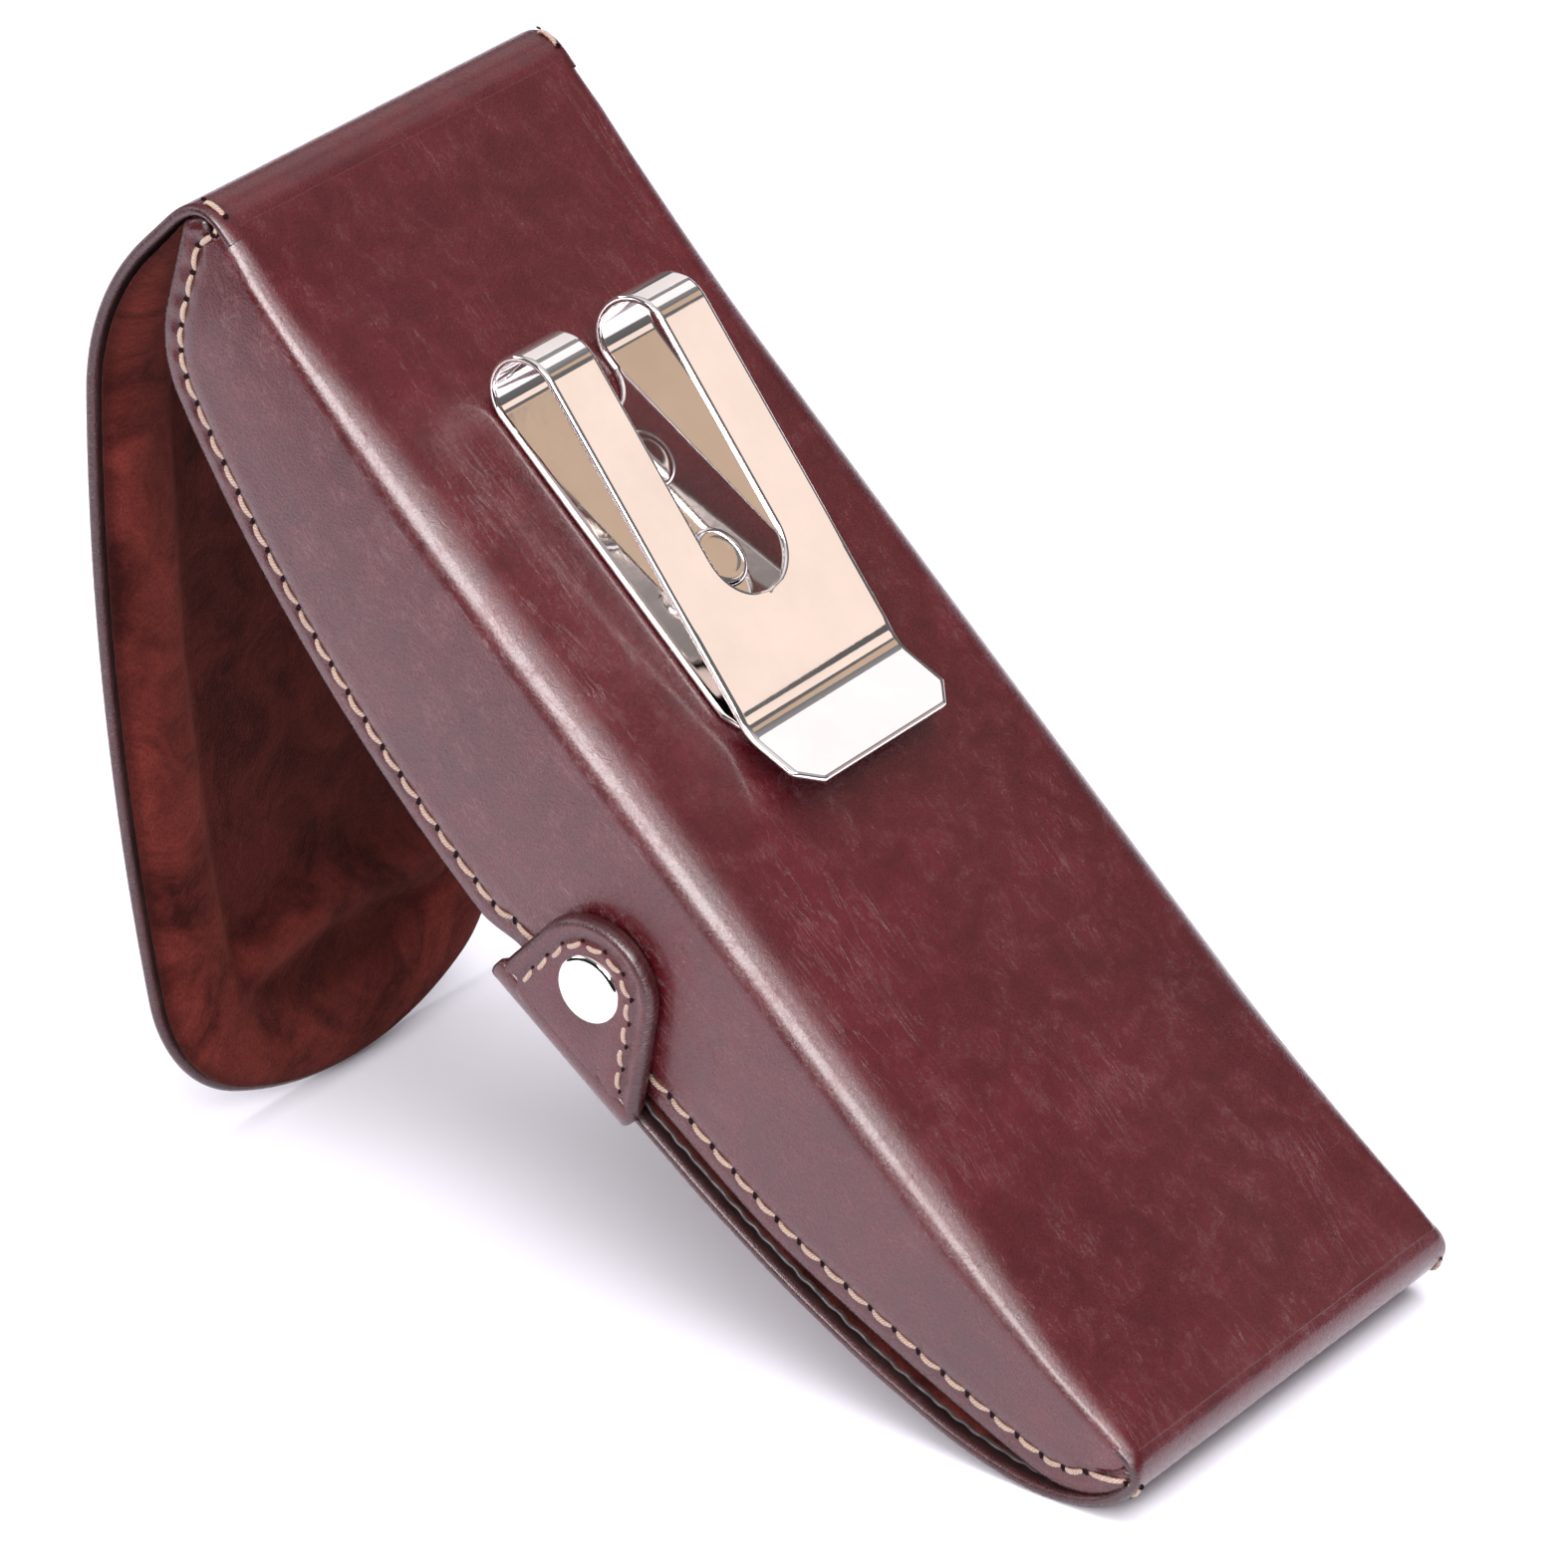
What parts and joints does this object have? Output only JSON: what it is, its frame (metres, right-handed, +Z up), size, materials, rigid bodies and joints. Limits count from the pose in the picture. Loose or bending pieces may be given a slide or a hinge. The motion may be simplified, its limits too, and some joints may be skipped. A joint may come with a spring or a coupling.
{
  "type": "eyeglasses case",
  "caption": "Stiff leather eyeglasses case with an open magnetic lid, press-stud side tabs, a stitched front flap and a spring-steel belt clip on its back",
  "frame": {"origin": "on the floor under the middle of the case's box as it stands, lid open", "axes": "+Z up; +X runs along the floor from under the hinge towards the end the case stands on; Y runs across the width, +Y towards the right-hand wall"},
  "size_m": [0.139, 0.0664, 0.1174],
  "materials": {
    "leather": "glossy oxblood calf leather, fine grain",
    "board": "pressed fibre board, plain",
    "lining": "short-pile plush",
    "plush": "short-pile plush, brushed",
    "thread": "waxed cream thread",
    "nickel_plate": "polished nickel plate",
    "steel": "plain steel"
  },
  "bodies": {
    "case": {"shell_leather": "leather", "back_board": "board", "left_wall_board": "board", "right_wall_board": "board", "shell_lining": "lining", "left_wall_stitching": "thread", "right_wall_stitching": "thread", "flap_leather": "leather", "flap_board": "board", "keeper_plate": "steel", "flap_lining": "lining", "flap_stitching": "thread", "left_snap_stud": "steel", "right_snap_stud": "steel", "left_stud_rivet": "steel", "right_stud_rivet": "steel", "clip_plate": "nickel_plate", "clip_rivets": "nickel_plate", "rivet_washers": "steel", "clip_loops": "nickel_plate", "hinge_leather": "leather", "hinge_lining": "lining", "left_tab_fold": "leather", "right_tab_fold": "leather"},
    "lid": {"lid_leather": "leather", "lid_board": "board", "lid_lining": "plush", "magnet_bar": "steel"},
    "left_tab": {"left_tab_leather": "leather", "left_tab_backing": "leather", "left_tab_stitching": "thread", "left_snap_cap": "nickel_plate", "left_snap_socket": "steel"},
    "right_tab": {"right_tab_leather": "leather", "right_tab_backing": "leather", "right_tab_stitching": "thread", "right_snap_cap": "nickel_plate", "right_snap_socket": "steel"},
    "clip_leaf_body": {"clip_leaf": "nickel_plate"}
  },
  "joints": [
    {"name": "lid_hinge", "type": "hinge", "parent": "case", "child": "lid", "pos_m": [-0.05238, 0, 0.11137], "axis": [0, 1, 0], "range_deg": [-33.5, 85], "deforming": ["hinge_leather", "hinge_lining"]},
    {"name": "left_tab_hinge", "type": "hinge", "parent": "case", "child": "left_tab", "pos_m": [-0.0007, -0.0295, 0.0339], "axis": [0.8047, 0, -0.5937], "range_deg": [0, 80], "deforming": ["left_tab_fold"]},
    {"name": "right_tab_hinge", "type": "hinge", "parent": "case", "child": "right_tab", "pos_m": [-0.0007, 0.0295, 0.0339], "axis": [-0.8047, 0, 0.5937], "range_deg": [0, 80], "deforming": ["right_tab_fold"]},
    {"name": "clip_spring", "type": "hinge", "parent": "case", "child": "clip_leaf_body", "pos_m": [-0.02188, 0, 0.09806], "axis": [0, -1, 0], "range_deg": [0, 10], "stiffness_Nm_per_rad": 3, "springref_deg": -1.72, "deforming": ["clip_loops"]}
  ]
}
